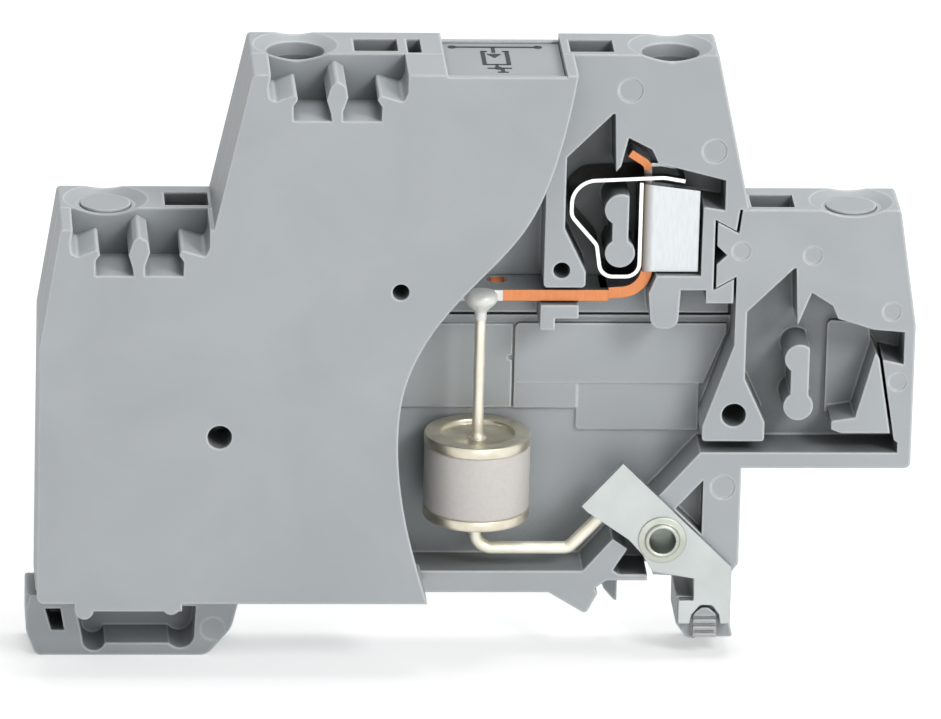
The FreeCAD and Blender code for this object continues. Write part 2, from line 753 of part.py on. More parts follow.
def front_cover():
    step_left = 2 * mid_x - step_x
    top_left = 2 * mid_x - top_x
    outline = [
        (left_x, 0.0, corner_radius),
        (left_x, shoulder_z),
        (left_x + shoulder_inset, lower_deck_z, 0.3),
        (step_left, lower_deck_z),
        (top_left, upper_deck_z, 0.3),
        (step_x, upper_deck_z),
        (step_x, 0.0),
    ]
    body = prism(outline, -half_depth, 0)
    skirt = block(left_x + 2.8, left_x + 10.7, -half_depth, 0, -0.58, 0.53)
    bumps = [pin_y(left_x + 3.5, -0.56, 0.67, -half_depth, 0),
             pin_y(left_x + 9.9, -0.21, 0.65, -half_depth, 0)]
    body = joined([body, skirt] + bumps)
    pocket = [
        (left_x + 1.2, 1.27),
        (left_x + 1.2, shoulder_z),
        (left_x + 1.9, lower_deck_z - 5.3),
        (step_left + 1.4, lower_deck_z - 5.3),
        (top_left + 1.9, upper_deck_z - 5.51),
        (mid_x - 4.55, upper_deck_z - 5.51),
        (mid_x - 4.15, upper_deck_z - 2.76),
        (step_x + 1, upper_deck_z - 2.76),
        (step_x + 1, 1.27),
    ]
    body = body.cut(prism(pocket, -half_depth + wall, 0))
    cuts = [marker_groove(left_x + 2.3, lower_deck_z), marker_groove(top_left + 1.3, upper_deck_z)]
    sleeves = []
    pillar_hole_x = pillar_x + pillar_hole_inset
    pillar_hole_z = lower_deck_z - pillar_hole_below
    for x, z, radius in ((pillar_hole_x, pillar_hole_z, pillar_hole_radius),
                         (column_hole_x, column_hole_z, column_hole_radius)):
        reach = radius + sleeve_wall
        sleeve = block(x - reach, x + reach, -half_depth + wall / 2, -sleeve_gap, z - reach, z + reach)
        sleeves.append(flipped_shape(sleeve))
        cuts.append(flipped_shape(pin_y(x, z, radius, -half_depth, 0)))
    body = joined([body] + sleeves)
    cuts.append(label_seat())
    cuts.append(cutaway())
    return body.cut(Part.makeCompound(cuts)).removeSplitter()


def current_bar():
    leg_x = bar_leg_x
    tip_z = upper_deck_z - bar_tip_below
    right = [
        (leg_x - bar_tip_reach, tip_z),
        (leg_x, tip_z - bar_tip_drop, 0.9),
        (leg_x, bar_z + 0.21, bar_bend),
        (leg_x - bar_bend_reach, bar_z, 1.5),
    ]
    path = right + flipped(right)
    bar = strip(path, bar_thickness, bar_front, bar_front + bar_width)
    leg_right_x = leg_x + bar_thickness / 2
    window_z = upper_deck_z - 10.39
    side = (bar_width - bar_tongue_width) / 2
    front_relief = block(leg_x - 3, leg_x + 1, bar_front - 1, bar_front + side, window_z, tip_z + 2.12)
    rear_relief = block(leg_x - 3, leg_x + 1, bar_front + bar_width - side, bar_front + bar_width + 1,
                        window_z, tip_z + 2.12)
    set_back = block(leg_x - bar_bend_reach, leg_x + 1, bar_front - 1, bar_front + bar_set_back,
                     bar_under - 1.06, tip_z + 2.12)
    reliefs = both_sides(front_relief) + both_sides(rear_relief) + both_sides(set_back)
    bar = bar.cut(Part.makeCompound(reliefs))
    flap_low = lower_deck_z - flap_foot_below
    flap_top = upper_deck_z - flap_top_below
    leg_left_x = leg_x - bar_thickness / 2
    flap = prism([(leg_left_x, flap_low), (leg_right_x + flap_length, flap_low),
                  (leg_right_x + flap_length, flap_top - 0.53), (leg_left_x, flap_top)],
                 bar_front, bar_front + flap_thickness)
    return joined([bar] + both_sides(flap))


def clamp_spring():
    # Cage spring: a loop whose top leg has a window for the bar and the conductor.
    leg_x = bar_leg_x - bar_thickness / 2 - spring_gap - spring_thickness / 2
    near_x = bar_leg_x - spring_length
    top = upper_deck_z - spring_top_below
    low = lower_deck_z - spring_foot_below
    rise = top - low
    path = [
        (leg_x + 3.2, top - 0.27),
        (leg_x + 1.65, top, 2.0),
        (near_x, top - 0.32, 0.235 * rise),
        (near_x, low + 0.61 * rise, 0.14 * rise),
        (near_x + 1.92, low + 0.32 * rise, 0.11 * rise),
        (near_x + 2.27, low, 0.13 * rise),
        (leg_x, low, 0.13 * rise),
        (leg_x, top - spring_thickness - 0.05),
    ]
    spring = strip(path, spring_thickness, spring_front, spring_front + spring_width)
    window_front = bar_front + 0.45
    window = block(leg_x + 0.1, leg_x + 2.85, window_front, bar_front + bar_width - 0.45,
                   top - 1.06, top + 1.06)
    return spring.cut(window)


def arrester_body():
    low = arrester_low + cap_height
    return pin_z(arrester_x, 0, arrester_radius - 0.03, low, arrester_top - cap_height)


def arrester_top_cap():
    cap = pin_z(arrester_x, 0, arrester_radius, arrester_top - cap_height, arrester_top)
    return cap.cut(pin_z(arrester_x, 0, cap_recess_radius, arrester_top - cap_recess, arrester_top + 1))


def arrester_bottom_cap():
    return pin_z(arrester_x, 0, arrester_radius, arrester_low, arrester_low + cap_height)


def upper_lead():
    return pin_z(arrester_x, 0, upper_lead_radius, arrester_top - cap_recess, bar_over + 0.1)


def lower_lead():
    # Wire from the lower cap to the back of the contact foot, with two bends. Eight flats stand
    # for its round section.
    bend_one = 1.3
    bend_two = 0.9
    depth = lower_lead_radius
    corner_two = FreeCAD.Vector(ledge_x - 6.32, depth, lower_lead_z)
    end = FreeCAD.Vector(ledge_x - 3.62, depth, lower_lead_z + 2.86)
    top = FreeCAD.Vector(arrester_x, depth, arrester_low)
    corner_one = FreeCAD.Vector(arrester_x, depth, lower_lead_z)
    arc_one = corner_arc(top, corner_one, corner_two, bend_one)
    arc_two = corner_arc(corner_one, corner_two, end, bend_two)
    path = Part.Wire([
        Part.LineSegment(top, arc_one[0]).toShape(),
        Part.Arc(*arc_one).toShape(),
        Part.LineSegment(arc_one[2], arc_two[0]).toShape(),
        Part.Arc(*arc_two).toShape(),
        Part.LineSegment(arc_two[2], end).toShape(),
    ])
    corners = []
    for number in range(8):
        angle = math.radians(45 * number + 22.5)
        across = lower_lead_radius * math.cos(angle)
        corners.append(top.add(FreeCAD.Vector(across, lower_lead_radius * math.sin(angle), 0)))
    section = Part.makePolygon(corners + corners[:1])
    return path.makePipeShell([section], True, False)


def solder_joint():
    # Blob of solder round the upper lead, wide where it wets the front edge of the bar.
    outline = [
        (0.0, bar_z - solder_low),
        (upper_lead_radius + 0.08, bar_z - solder_low),
        (solder_radius, bar_z - 0.2),
        (0.8 * solder_radius, bar_over + 0.15),
        (0.0, bar_over + 0.15),
    ]
    places = [FreeCAD.Vector(arrester_x + radius, 0, z) for radius, z in outline]
    face = Part.Face(Part.makePolygon(places + places[:1]))
    blob = face.revolve(FreeCAD.Vector(arrester_x, 0, 0), FreeCAD.Vector(0, 0, 1), 360)
    behind = block(arrester_x - 3, arrester_x + 3, bar_front, bar_front + 3, bar_under - 3, bar_over + 3)
    return blob.cut(Part.makeCompound([behind, upper_lead()]))


def contact_foot():
    hook_top = -rail_flange - rail_end_gap - 0.15
    inner_leg = rail_half_width + rail_end_gap
    right = leg_right - leg_narrow - 0.05
    low = leg_foot_z + plate_foot_above
    outline = [
        (ledge_x - plate_top_from_ledge, plate_top_z),
        (ledge_x - plate_left_from_ledge, plate_left_z),
        (ledge_x - plate_left_from_ledge + 0.4, plate_left_z - 0.43),
        (ledge_x - 1.9, 3.5, 1.5),
        (ledge_x - 0.87, 2.33, 0.8),
        (ledge_x - 0.12, 1.01, 0.2),
        (inner_leg, 0.45),
        (inner_leg, hook_top),
        (leg_hook_x + 0.12, hook_top),
        (leg_hook_x + 0.12, low),
        (leg_hook_x + 0.95, low),
        (leg_hook_x + 1.05, low + 0.69),
        (leg_hook_x + 1.7, low + 1.48, 0.4),
        (leg_hook_x + 2.6, low + 1.48, 0.4),
        (leg_hook_x + 3.15, low + 0.69),
        (leg_hook_x + 3.25, low),
        (right, low),
        (right, 1.31, 0.3),
    ]
    plate = prism(outline, -plate_thickness, 0)
    return plate.cut(pin_y(rivet_x, rivet_z, rivet_shank_radius + 0.02, -plate_thickness - 1, 1))


def foot_rivet():
    # Hollow rivet: flat flange and rolled rim in front, rolled rim in its rear sink.
    flange_front = -plate_thickness - rivet_flange
    seat_rear = half_depth - rivet_rear_sink
    outline = [
        (rivet_bore_radius, flange_front - rivet_rim),
        (rivet_rim_radius, flange_front - rivet_rim),
        (rivet_rim_radius, flange_front),
        (rivet_head_radius, flange_front),
        (rivet_head_radius, -plate_thickness),
        (rivet_shank_radius, -plate_thickness),
        (rivet_shank_radius, seat_rear),
        (rivet_rear_radius, seat_rear),
        (rivet_bore_radius, seat_rear + 0.45),
    ]
    return turned(outline, rivet_x, rivet_z)


def latch_foot():
    top = left_bottom - foot_top_gap
    front = foot_side_gap
    back = half_depth - foot_side_gap
    outline = [
        (foot_left, top, 0.2),
        (foot_left, foot_bottom + 1.96, 1.5),
        (foot_left + 0.75, foot_bottom, 0.7),
        (foot_hook_x - 2.4, foot_bottom, 1.2),
        (foot_hook_x - 0.6, foot_bottom + 2.17, 2.0),
        (foot_hook_x, top, 0.15),
    ]
    body = prism(outline, front, back)
    neck_left, neck_right = foot_neck_sides()
    head_low = latch_floor + foot_top_gap
    neck = block(neck_left, neck_right, 0.35, inner_y - 0.35, top - 0.53, head_low + 0.11)
    head = block(foot_head_left, foot_head_left + foot_head_length, 0.35, inner_y - 0.35,
                 head_low, head_low + foot_head_height)
    body = joined([body, neck, head])
    recess = joined([
        prism([(foot_left + 3.65, top - 0.85), (foot_left + 4.2, foot_bottom + 1.33),
               (foot_left + 5.85, foot_bottom + 0.95), (foot_hook_x - 5.2, foot_bottom + 0.95),
               (foot_hook_x - 3.35, foot_bottom + 1.64), (foot_hook_x - 3.25, top - 0.85)],
              front, inner_y),
        pin_y(foot_left + 5.05, foot_bottom + 1.18, 0.85, front, inner_y),
        pin_y(foot_hook_x - 4.4, foot_bottom + 1.61, 1.05, front, inner_y),
    ])
    slit = prism([(foot_left + 1.4, top - 1.06), (foot_left + 1.9, foot_bottom + 1.96),
                  (foot_left + 2.85, foot_bottom + 1.96), (foot_left + 2.55, top - 1.06)],
                 front, inner_y)
    chamfer_top = top + 1.06
    lip = Part.makePolygon([
        FreeCAD.Vector(foot_left - 1, front - 1, chamfer_top),
        FreeCAD.Vector(foot_left - 1, front + 2.4, chamfer_top),
        FreeCAD.Vector(foot_left + 1.3, front - 1, chamfer_top),
        FreeCAD.Vector(foot_left - 1, front - 1, chamfer_top),
    ])
    chamfer = Part.Face(lip).extrude(FreeCAD.Vector(-1.2, 0, -4.45))
    mark = pin_y(foot_hook_x - 2.0, -3.92, mark_radius_large, front, front + mark_depth)
    return body.cut(Part.makeCompound([recess, slit, chamfer, mark])).removeSplitter()


def entry_plug():
    # Round blank of an unused entry of the lower deck: its top stands in the dish of the entry.
    return pin_z(lower_entry_x, entry_y, entry_radius - plug_gap, lower_deck_z - plug_height,
                 lower_deck_z - plug_sink)


def build():
    os.makedirs("parts", exist_ok=True)
    spring = clamp_spring()
    plug = entry_plug()
    nodes = {
        "lower_housing": lower_housing(),
        "upper_deck": upper_deck(),
        "front_cover": front_cover(),
        "latch_foot": latch_foot(),
        "contact_foot": contact_foot(),
        "foot_rivet": foot_rivet(),
        "current_bar": current_bar(),
        "right_clamp_spring": spring,
        "left_clamp_spring": flipped_shape(spring),
        "arrester_body": arrester_body(),
        "arrester_top_cap": arrester_top_cap(),
        "arrester_bottom_cap": arrester_bottom_cap(),
        "arrester_upper_lead": upper_lead(),
        "arrester_lower_lead": lower_lead(),
        "solder_joint": solder_joint(),
        "label_plate": label_plate(),
        "right_entry_plug": plug,
        "left_entry_plug": flipped_shape(plug),
    }
    for name, shape in nodes.items():
        shape.exportStep("parts/" + name + ".step")
        print(name, len(shape.Solids), "solid", round(shape.Volume, 2), "mm3", shape.isValid())


build()
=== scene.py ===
import bpy, bmesh, math
from mathutils import Matrix, Vector


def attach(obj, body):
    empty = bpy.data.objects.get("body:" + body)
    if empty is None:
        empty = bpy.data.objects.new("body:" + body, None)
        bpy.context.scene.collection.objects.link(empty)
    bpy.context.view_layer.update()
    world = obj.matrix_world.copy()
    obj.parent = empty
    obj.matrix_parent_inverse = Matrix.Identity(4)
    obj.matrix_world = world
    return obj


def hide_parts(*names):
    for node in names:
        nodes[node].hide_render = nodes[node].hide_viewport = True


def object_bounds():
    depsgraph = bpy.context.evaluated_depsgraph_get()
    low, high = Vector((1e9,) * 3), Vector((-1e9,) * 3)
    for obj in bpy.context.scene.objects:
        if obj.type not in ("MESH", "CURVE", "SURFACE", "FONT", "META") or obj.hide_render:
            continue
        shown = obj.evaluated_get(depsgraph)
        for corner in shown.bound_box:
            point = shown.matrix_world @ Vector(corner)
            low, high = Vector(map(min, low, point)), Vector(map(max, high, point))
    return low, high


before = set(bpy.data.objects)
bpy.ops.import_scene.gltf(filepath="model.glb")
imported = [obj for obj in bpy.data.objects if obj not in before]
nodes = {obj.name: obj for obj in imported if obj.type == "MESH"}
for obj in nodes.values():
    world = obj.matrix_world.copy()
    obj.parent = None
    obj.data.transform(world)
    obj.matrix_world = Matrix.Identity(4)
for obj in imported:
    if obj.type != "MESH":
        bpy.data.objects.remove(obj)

cadBox = [list(corner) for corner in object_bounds()]
mm = 0.001


def linear(hexColour):  # sRGB hex to the linear colour that shaders take
    channels = [int(hexColour[i:i + 2], 16) / 255 for i in (1, 3, 5)]
    return [c / 12.92 if c <= 0.04045 else ((c + 0.055) / 1.055) ** 2.4 for c in channels] + [1.0]


def addNode(tree, kind, values=None, links=None, **settings):
    node = tree.nodes.new("ShaderNode" + kind)
    for name, value in settings.items():
        setattr(node, name, value)
    for socket, value in (values or {}).items():
        node.inputs[socket].default_value = value
    for socket, source in (links or {}).items():
        tree.links.new(source, node.inputs[socket])
    return node


def newMaterial(name):
    material = bpy.data.materials.new(name)
    material.use_nodes = True
    tree = material.node_tree
    return material, tree, tree.nodes["Principled BSDF"]


def roundedEdges(tree, radiusMm):  # soft normals over edges that a mould or a punch leaves rounded
    return addNode(tree, "Bevel", {"Radius": radiusMm * mm}, samples=4).outputs["Normal"]


def perMm(size):  # texture scale for a pattern whose features are this many millimetres apart
    return 1 / (size * mm)


def blend(tree, amount, first, second):  # first colour to second, each a socket or a hex colour
    node = addNode(tree, "MixRGB", links={"Fac": amount})
    for socket, colour in (("Color1", first), ("Color2", second)):
        if isinstance(colour, str):
            node.inputs[socket].default_value = linear(colour)
        else:
            tree.links.new(colour, node.inputs[socket])
    return node.outputs["Color"]


def remap(tree, source, low, high, toLow=0.0, toHigh=1.0):
    return addNode(tree, "MapRange", {"From Min": low, "From Max": high, "To Min": toLow, "To Max": toHigh},
                   {"Value": source}).outputs["Result"]


def openness(tree, reachMm):  # 1 on open faces, near 0 deep in a recess
    return addNode(tree, "AmbientOcclusion", {"Distance": reachMm * mm}, samples=4).outputs["AO"]


def seenDirectly(tree):  # 1 for rays from the camera or from a shiny face, 0 for those that only bring light
    rays = addNode(tree, "LightPath").outputs
    return addNode(tree, "Math", links={0: rays["Is Camera Ray"], 1: rays["Is Glossy Ray"]},
                   operation="MAXIMUM").outputs["Value"]


def finishPiece(bm, name, body, material, stands=(), smooth=True):
    bmesh.ops.remove_doubles(bm, verts=bm.verts, dist=0.0005 * mm)
    bmesh.ops.recalc_face_normals(bm, faces=bm.faces)
    mesh = bpy.data.meshes.new(name)
    bm.to_mesh(mesh)
    bm.free()
    if smooth:
        mesh.shade_smooth()
        mesh.set_sharp_from_angle(angle=math.radians(40))
    piece = bpy.data.objects.new(name, mesh)
    bpy.context.scene.collection.objects.link(piece)
    mesh.materials.append(material)
    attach(piece, body)
    if stands:
        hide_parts(*stands)


def turnedPiece(profile, centre, axis="Z", steps=96, ring=False):  # profile is (radius, height) pairs in mm
    bm = bmesh.new()
    corners = [bm.verts.new((radius * mm, 0, height * mm)) for radius, height in profile]
    edges = [bm.edges.new(pair) for pair in zip(corners, corners[1:] + (corners[:1] if ring else []))]
    bmesh.ops.spin(bm, geom=corners + edges, cent=(0, 0, 0), axis=(0, 0, 1), angle=2 * math.pi,
                   steps=steps, use_merge=True, use_duplicate=False)
    bmesh.ops.remove_doubles(bm, verts=bm.verts, dist=0.001 * mm)
    if axis == "Y":
        lying = Matrix.Rotation(math.radians(-90), 3, "X")
        bmesh.ops.rotate(bm, verts=bm.verts, cent=(0, 0, 0), matrix=lying)
    bmesh.ops.translate(bm, verts=bm.verts, vec=Vector(centre) * mm)
    return bm


def sweptPiece(bm, section, path, bendSteps=10):  # section is (across, y), path is (x, z, bend radius)
    places = [Vector((corner[0], 0, corner[1])) for corner in path]
    first = (places[1] - places[0]).normalized()
    side = Vector((-first.z, 0, first.x))
    ends = [bm.verts.new((places[0] + side * across + Vector((0, y, 0))) * mm) for across, y in section]
    loop = ends + [bm.edges.new(pair) for pair in zip(ends, ends[1:] + ends[:1])]
    here = places[0]
    for number in range(1, len(path)):
        ahead = (places[number] - places[number - 1]).normalized()
        following = (places[number + 1] - places[number]).normalized() if number + 1 < len(path) else ahead
        bend = ahead.angle(following)
        reach = path[number][2] * math.tan(bend / 2) if len(path[number]) == 3 else 0
        stop = places[number] - ahead * reach
        edges = [part for part in loop if isinstance(part, bmesh.types.BMEdge)]
        grown = bmesh.ops.extrude_edge_only(bm, edges=edges)
        loop = [part for part in grown["geom"] if not isinstance(part, bmesh.types.BMFace)]
        ends = [part for part in loop if isinstance(part, bmesh.types.BMVert)]
        bmesh.ops.translate(bm, verts=ends, vec=(stop - here) * mm)
        here = stop
        if reach:
            turn = 1 if ahead.cross(following).y > 0 else -1
            centre = stop + Vector((ahead.z, 0, -ahead.x)) * turn * path[number][2]
            grown = bmesh.ops.spin(bm, geom=loop, cent=centre * mm, axis=(0, turn, 0), angle=bend,
                                   steps=bendSteps, use_duplicate=False)
            loop = [part for part in grown["geom_last"] if not isinstance(part, bmesh.types.BMFace)]
            here = places[number] + following * reach
    bmesh.ops.holes_fill(bm, edges=[edge for edge in bm.edges if edge.is_boundary])
    return bm


def mirrored(path, middleX):  # the same path on the other side of the plane x = middleX
    return [(2 * middleX - corner[0],) + tuple(corner[1:]) for corner in path]


def addBox(bm, low, high, bevelMm=0.0):  # corners in mm
    size = Vector(high) - Vector(low)
    place = Matrix.Translation((Vector(low) + size / 2) * mm) @ Matrix.Diagonal((*(size * mm), 1))
    verts = bmesh.ops.create_cube(bm, size=1, matrix=place)["verts"]
    if bevelMm:
        edges = list({edge for vert in verts for edge in vert.link_edges})
        bmesh.ops.bevel(bm, geom=edges, offset=bevelMm * mm, affect="EDGES", segments=3, profile=0.5,
                        material=-1)
    return verts


def cutWindow(bm, low, high, aboveZ, cornerMm):  # hole through the parts of a strip above a height
    for axis, places in enumerate(zip(low, high)):
        for place in places:
            faces = [face for face in bm.faces if face.calc_center_median().z > aboveZ * mm]
            geometry = faces + list({part for face in faces for part in (*face.edges, *face.verts)})
            direction = Vector((axis == 0, axis == 1, 0))
            bmesh.ops.bisect_plane(bm, geom=geometry, dist=0.0001 * mm, plane_co=direction * place * mm,
                                   plane_no=direction)
    bm.normal_update()
    middles = {face: face.calc_center_median() / mm for face in bm.faces}
    inside = [face for face, at in middles.items() if at.z > aboveZ and abs(face.normal.z) > 0.7
              and low[0] < at.x < high[0] and low[1] < at.y < high[1]]
    bmesh.ops.delete(bm, geom=inside, context="FACES")
    sides = bmesh.ops.bridge_loops(bm, edges=[edge for edge in bm.edges if edge.is_boundary])
    corners = [edge for edge in sides["edges"]
               if all(min(abs(vert.co[axis] / mm - low[axis]), abs(vert.co[axis] / mm - high[axis])) < 0.01
                      for vert in edge.verts for axis in (0, 1))]
    bmesh.ops.bevel(bm, geom=corners, offset=cornerMm * mm, affect="EDGES", segments=4, profile=0.5,
                    material=-1)


plastic = {
    "colour": "#B3B8BB",     # light grey polyamide
    "shade": "#ABB0B3",      # where the melt flowed a little darker
    "edge": "#EDF0F0",       # painted highlight, a pale line along every moulded edge
    "recess": "#3A403F",     # painted shade, the grey darkened deep inside recesses
    "recessMm": 6.0,         # how far off a wall still counts as closing a recess
    "recessFrom": 0.68,      # openness where the painted shade starts
    "recessFull": 0.05,      # openness where it is full
    "recessDepth": 0.9,      # how much of the recess colour is mixed in there
    "edgeFrom": 0.998,       # cosine of the rounding where the painted highlight starts
    "edgeFull": 0.93,        # and where it is full
    "edgeHidden": 0.05,      # openness below which an edge gets no painted highlight
    "edgeShown": 0.22,       # and above which it is pale
    "roughness": 0.5,
    "grainMm": 0.16,         # spark-eroded mould grain, drawn coarser than the real 0.05 mm
    "flowMm": 9.0,           # clouds of uneven gloss
    "edgeMm": 0.26,          # radius that the mould leaves on its edges
}


def plasticMaterial(name, look):
    material, tree, shader = newMaterial(name)
    place = addNode(tree, "TexCoord").outputs["Object"]
    flow = addNode(tree, "TexNoise", {"Scale": perMm(look["flowMm"]), "Detail": 3.0, "Distortion": 0.6},
                   {"Vector": place}).outputs["Fac"]
    grain = addNode(tree, "TexNoise", {"Scale": perMm(look["grainMm"]), "Detail": 2.0, "Roughness": 0.6},
                    {"Vector": place}).outputs["Fac"]
    rounded = roundedEdges(tree, look["edgeMm"])
    flat = addNode(tree, "NewGeometry").outputs["Normal"]
    bent = addNode(tree, "VectorMath", links={0: rounded, 1: flat}, operation="DOT_PRODUCT").outputs["Value"]
    reach = openness(tree, look["recessMm"])
    # Painted highlight: a pale line on rounded edges that are open to the light, none deep in recesses.
    edgeLine = remap(tree, bent, look["edgeFrom"], look["edgeFull"])
    notDeep = remap(tree, reach, look["edgeHidden"], look["edgeShown"])
    paintedEdgeHighlight = addNode(tree, "Math", links={0: edgeLine, 1: notDeep}, operation="MULTIPLY").outputs["Value"]
    # Painted shade: the grey darkens towards the recess colour where little light reaches.
    paintedRecessShade = remap(tree, reach, look["recessFrom"], look["recessFull"], 0.0, look["recessDepth"])
    grey = blend(tree, remap(tree, flow, 0.32, 0.68), look["shade"], look["colour"])
    grey = blend(tree, paintedRecessShade, grey, look["recess"])
    tree.links.new(blend(tree, paintedEdgeHighlight, grey, look["edge"]), shader.inputs["Base Color"])
    tree.links.new(remap(tree, flow, 0.0, 1.0, look["roughness"] - 0.06, look["roughness"] + 0.08),
                   shader.inputs["Roughness"])
    bump = addNode(tree, "Bump", {"Strength": 0.12, "Distance": 0.02 * mm}, {"Height": grain, "Normal": rounded})
    tree.links.new(bump.outputs["Normal"], shader.inputs["Normal"])
    shader.inputs["IOR"].default_value = 1.53
    return material


# Polyamide, injection moulded: even light grey with a satin skin and fine grain, a painted highlight along its
# edges and painted shade in its recesses.
housingPlastic = plasticMaterial("moulded grey polyamide", plastic)
# The same polyamide on the cover, with lighter painted shade in its shallow recesses.
coverPlastic = plasticMaterial("moulded grey polyamide of the cover",
                               dict(plastic, recess="#454B4B", recessFrom=0.42))
# The same polyamide on the latch foot, with painted shade only in its narrow grooves.
latchPlastic = plasticMaterial("moulded grey polyamide of the latch",
                               dict(plastic, recessFrom=0.6, recessMm=3.0))
# Polycarbonate plate, moulded in the same grey and a little darker to the eye.
labelPlastic = plasticMaterial("moulded polycarbonate label",
                               dict(plastic, colour="#ADB2B4", shade="#A6ABAD"))
# Polyamide discs, moulded apart from the housing: a shade darker, with the same grain.
plugPlastic = plasticMaterial("moulded polyamide plug", dict(plastic, colour="#ADB2B4"))


punchedEdgeMm = 0.07         # radius that punching leaves on the edges of metal


def metalMaterial(name, look):
    material, tree, shader = newMaterial(name)
    place = addNode(tree, "TexCoord").outputs["Object"]
    mapping = addNode(tree, "Mapping", {"Scale": look.get("stretch", (1, 1, 1))}, {"Vector": place})
    streaks = addNode(tree, "TexNoise", {"Scale": perMm(look["grainMm"]), "Detail": 4.0},
                      {"Vector": mapping.outputs["Vector"]}).outputs["Fac"]
    cloud = addNode(tree, "TexNoise", {"Scale": perMm(look["cloudMm"]), "Detail": 2.0},
                    {"Vector": place}).outputs["Fac"]
    colour = blend(tree, remap(tree, cloud, 0.3, 0.7), look["shade"], look["colour"])
    # Painted shade: the colour darkens deep in recesses, such as the rivet's bore.
    if "recess" in look:
        inside = remap(tree, openness(tree, look["recessMm"]), 0.7, 0.1)
        colour = blend(tree, inside, colour, look["recess"])
    tree.links.new(colour, shader.inputs["Base Color"])
    tree.links.new(remap(tree, streaks, 0.0, 1.0, look["roughness"] - 0.07, look["roughness"] + 0.09),
                   shader.inputs["Roughness"])
    bump = addNode(tree, "Bump", {"Strength": 0.15, "Distance": 0.01 * mm},
                   {"Height": streaks, "Normal": roundedEdges(tree, punchedEdgeMm)})
    tree.links.new(bump.outputs["Normal"], shader.inputs["Normal"])
    shader.inputs["Metallic"].default_value = look["metallic"]
    return material


# Sheet steel, punched and then zinc plated: pale, matt, with faint rolling streaks along its length.
footSteel = metalMaterial("zinc plated steel", {
    "colour": "#BEC3C2", "shade": "#B4B9B7", "roughness": 0.45, "metallic": 1.0,
    "grainMm": 0.3, "cloudMm": 3.0, "stretch": (1, 1, 0.25)})
# Drawn steel tube, nickel plated and rolled over: yellowish grey, with painted shade inside the bore.
rivetMetal = metalMaterial("nickel plated rivet", {
    "colour": "#BDC1B8", "shade": "#AEB2A8", "roughness": 0.4, "metallic": 1.0,
    "recess": "#5E6F68", "recessMm": 2.0, "grainMm": 0.3, "cloudMm": 1.5})
# Tin over nickel iron, pressed to a dish: dull, warm and part diffuse, because the plating is matt.
tinnedCaps = metalMaterial("tin plated cap", {
    "colour": "#E6E1D0", "shade": "#CFC8B2", "roughness": 0.34, "metallic": 0.8,
    "grainMm": 0.3, "cloudMm": 1.6})
# Copper wire, drawn and dipped in tin: cream white, with faint lines along the wire.
tinnedWire = metalMaterial("tinned copper wire", {
    "colour": "#FAF6E8", "shade": "#EDE7D4", "roughness": 0.38, "metallic": 0.55,
    "grainMm": 0.25, "cloudMm": 1.6, "stretch": (1, 1, 0.2)})
# Tin solder, frozen from the melt: pale and cloudy, with a soft highlight.
softSolder = metalMaterial("soft solder", {
    "colour": "#F6F7F4", "shade": "#E6E8E3", "roughness": 0.34, "metallic": 0.1,
    "grainMm": 0.5, "cloudMm": 0.9})

spring = {
    "rolled": "#4B3F37", "rolledShade": "#2E2723",  # faces, a painted reflection of the dark chamber
    "cut": "#F4F5F5",                               # sheared edges
    "edgeMm": 0.05,                                 # radius of the sheared edges
}


def springMaterial(name, look):
    # Spring steel strip: the rolled faces are painted brown black as a painted reflection of the dark chamber
    # around them, and the sheared edges stay bright.
    material, tree, shader = newMaterial(name)
    coordinates = addNode(tree, "TexCoord")
    facing = addNode(tree, "SeparateXYZ", links={0: coordinates.outputs["Normal"]})
    across = addNode(tree, "Math", links={0: facing.outputs["Y"]}, operation="ABSOLUTE").outputs[0]
    cutEdge = addNode(tree, "Math", {1: 0.7}, {0: across}, operation="GREATER_THAN").outputs[0]
    cloud = addNode(tree, "TexNoise", {"Scale": perMm(1.4), "Detail": 3.0},
                    {"Vector": coordinates.outputs["Object"]}).outputs["Fac"]
    # Painted reflection: brown black faces with random clouds.
    rolled = blend(tree, remap(tree, cloud, 0.35, 0.65), look["rolledShade"], look["rolled"])
    tree.links.new(blend(tree, cutEdge, rolled, look["cut"]), shader.inputs["Base Color"])
    tree.links.new(remap(tree, cutEdge, 0.0, 1.0, 0.28, 0.4), shader.inputs["Roughness"])
    tree.links.new(roundedEdges(tree, look["edgeMm"]), shader.inputs["Normal"])
    shader.inputs["Metallic"].default_value = 1.0
    return material


springSteel = springMaterial("tempered spring steel", spring)

bar = {
    "copper": "#CE875C",      # cut edges, where the strip was punched after plating
    "copperShade": "#C67F54",
    "tin": "#CACED0",         # plated faces
    "tinShade": "#C2C6C8",
    "edgeMm": 0.06,           # radius of the strip's edges
    "foldShadeReflection": "#54422C",    # painted shade and copper reflection where the flap folds off the leg
    "middleX": 1.15,          # mm, the two ends mirror about this plane
    "foldFrom": 11.95,        # mm from that plane to the start of the flap
    "foldWidth": 0.8,         # mm over which the painted shade fades out
    "flapFoot": 24.05,        # mm, heights of the flap's foot and top
    "flapTop": 31.75,
}


